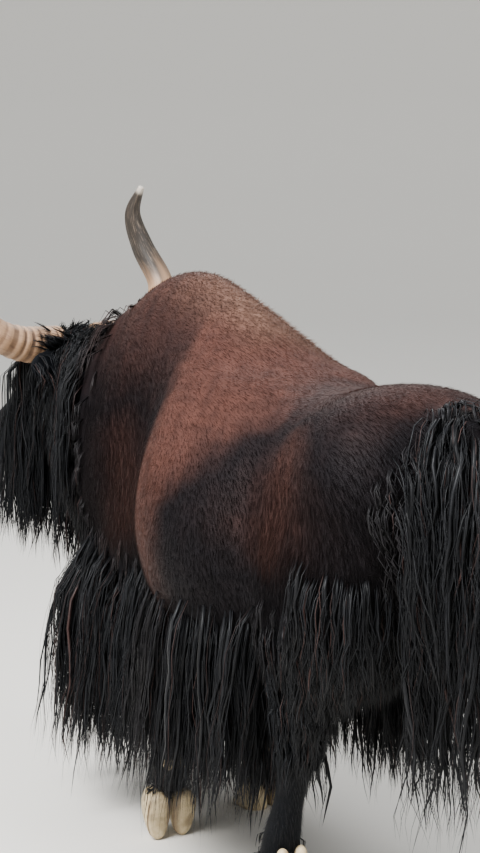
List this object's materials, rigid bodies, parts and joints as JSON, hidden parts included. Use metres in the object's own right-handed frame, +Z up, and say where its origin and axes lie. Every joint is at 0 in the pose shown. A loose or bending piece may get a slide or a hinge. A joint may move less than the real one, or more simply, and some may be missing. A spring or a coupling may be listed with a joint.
{
  "type": "yak",
  "caption": "Life-size still model of a walking domestic yak with a rufous-brown back, black skirt of long hair, bushy tail and upswept horns.",
  "frame": {"origin": "on the floor, under the middle of the whole animal's box", "axes": "+Z up, the yak faces -Y and its left side is +X"},
  "size_m": [0.7981, 2.2903, 1.5252],
  "materials": {
    "short_coat": "short glossy hair, rufous brown to buff on the hump",
    "long_coat": "long black hair with a soft sheen",
    "horn": "grey-brown keratin, cream at the ringed base, with pale streaks",
    "hoof": "cream to grey hoof horn, dull",
    "eye": "wet dark brown"
  },
  "bodies": {
    "root": {"eye_left": "eye", "horn_left": "horn", "ear_left": "long_coat", "eye_right": "eye", "horn_right": "horn", "ear_right": "long_coat", "claw_front_left_inner": "hoof", "dewclaw_front_left_inner": "hoof", "claw_front_left_outer": "hoof", "dewclaw_front_left_outer": "hoof", "lower_leg_front_left": "long_coat", "claw_front_right_inner": "hoof", "dewclaw_front_right_inner": "hoof", "claw_front_right_outer": "hoof", "dewclaw_front_right_outer": "hoof", "lower_leg_front_right": "long_coat", "claw_hind_left_inner": "hoof", "dewclaw_hind_left_inner": "hoof", "claw_hind_left_outer": "hoof", "dewclaw_hind_left_outer": "hoof", "lower_leg_hind_left": "long_coat", "claw_hind_right_inner": "hoof", "dewclaw_hind_right_inner": "hoof", "claw_hind_right_outer": "hoof", "dewclaw_hind_right_outer": "hoof", "lower_leg_hind_right": "long_coat", "torso": "short_coat", "head": "long_coat", "tail": "long_coat", "upper_leg_front_left": "long_coat", "upper_leg_front_right": "long_coat", "upper_leg_hind_left": "long_coat", "upper_leg_hind_right": "long_coat", "skirt_left": "long_coat", "skirt_right": "long_coat", "chest_coat": "long_coat", "neck": "long_coat"}
  },
  "joints": []
}
